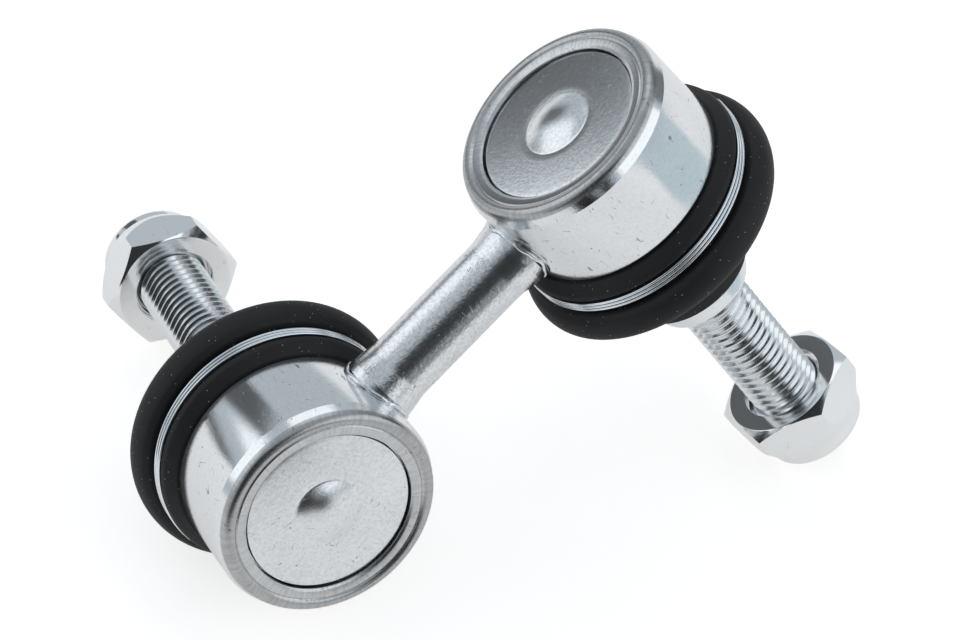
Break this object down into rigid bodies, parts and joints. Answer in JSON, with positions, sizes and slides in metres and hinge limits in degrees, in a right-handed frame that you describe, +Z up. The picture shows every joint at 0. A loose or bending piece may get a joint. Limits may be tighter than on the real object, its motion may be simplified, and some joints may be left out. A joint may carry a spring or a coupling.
{
  "type": "stabilizer link",
  "caption": "Short stabilizer link: a steel rod welded to a crimped ball joint at each end, studs at right angles, rubber boots held by wire rings, locking nuts on the threads.",
  "frame": {"origin": "middle of the bounding box on the bench plane, with the link lying on its nuts and the lower boot", "axes": "+X to the right across the longest extent, from the lower joint towards the upper joint's nut; +Y away from the viewer; +Z up from the bench"},
  "size_m": [0.1076, 0.069, 0.0673],
  "materials": {
    "zinc_steel": "bright zinc plate",
    "stud_steel": "bright zinc plate",
    "nut_steel": "bright zinc plate",
    "wire_steel": "bright wire",
    "boot_rubber": "matt",
    "seat_plastic": "matt",
    "nylon": "matt"
  },
  "bodies": {
    "link": {"link_rod": "zinc_steel", "upper_housing": "zinc_steel", "upper_cover_plate": "zinc_steel", "upper_ball_seat": "seat_plastic", "lower_housing": "zinc_steel", "lower_cover_plate": "zinc_steel", "lower_ball_seat": "seat_plastic"},
    "upper_boot": {"upper_dust_boot": "boot_rubber", "upper_clamp_ring": "wire_steel"},
    "upper_stud": {"upper_ball_stud": "stud_steel", "upper_boot_neck_ring": "wire_steel"},
    "upper_insert": {"upper_nut_insert": "nylon"},
    "upper_nut": {"upper_lock_nut": "nut_steel"},
    "lower_boot": {"lower_dust_boot": "boot_rubber", "lower_clamp_ring": "wire_steel"},
    "lower_stud": {"lower_ball_stud": "stud_steel", "lower_boot_neck_ring": "wire_steel"},
    "lower_insert": {"lower_nut_insert": "nylon"},
    "lower_nut": {"lower_lock_nut": "nut_steel"}
  },
  "joints": [
    {"name": "upper_stud_turn", "type": "hinge", "parent": "link", "child": "upper_boot", "pos_m": [0.01554, 0.01367, 0.04895], "axis": [0.601, 0.0138, -0.7991], "continuous": true},
    {"name": "upper_stud_swing", "type": "hinge", "parent": "upper_boot", "child": "upper_stud", "pos_m": [0.01554, 0.01367, 0.04895], "axis": [-0.7906, 0.1571, -0.5918], "range_deg": [-26.1, 13.9], "deforming": ["upper_dust_boot"]},
    {"name": "upper_nut_slide", "type": "slide", "parent": "upper_stud", "child": "upper_insert", "axis": [0.5851, -0.0912, -0.8058], "range_m": [-0.0194, 0.0217]},
    {"name": "upper_nut_turn", "type": "hinge", "parent": "upper_insert", "child": "upper_nut", "pos_m": [0.0424, 0.00949, 0.01197], "axis": [0.5851, -0.0912, -0.8058], "range_deg": [-5587.2, 6249.6]},
    {"name": "lower_stud_turn", "type": "hinge", "parent": "link", "child": "lower_boot", "pos_m": [-0.0229, -0.01639, 0.0214], "axis": [-0.4534, 0.8293, -0.3266], "continuous": true},
    {"name": "lower_stud_swing", "type": "hinge", "parent": "lower_boot", "child": "lower_stud", "pos_m": [-0.0229, -0.01639, 0.0214], "axis": [0.8896, 0.398, -0.2243], "range_deg": [-24.1, 15.9], "deforming": ["lower_dust_boot"]},
    {"name": "lower_nut_slide", "type": "slide", "parent": "lower_stud", "child": "lower_insert", "axis": [-0.4482, 0.8552, -0.2601], "range_m": [-0.0184, 0.0227]},
    {"name": "lower_nut_turn", "type": "hinge", "parent": "lower_insert", "child": "lower_nut", "pos_m": [-0.04302, 0.02201, 0.00972], "axis": [-0.4482, 0.8552, -0.2601], "range_deg": [-5299.2, 6537.6]}
  ],
  "couplings": [
    {"joint": "upper_nut_slide", "follows": "upper_nut_turn", "m_per_rad": 0.00019894},
    {"joint": "lower_nut_slide", "follows": "lower_nut_turn", "m_per_rad": 0.00019894}
  ]
}
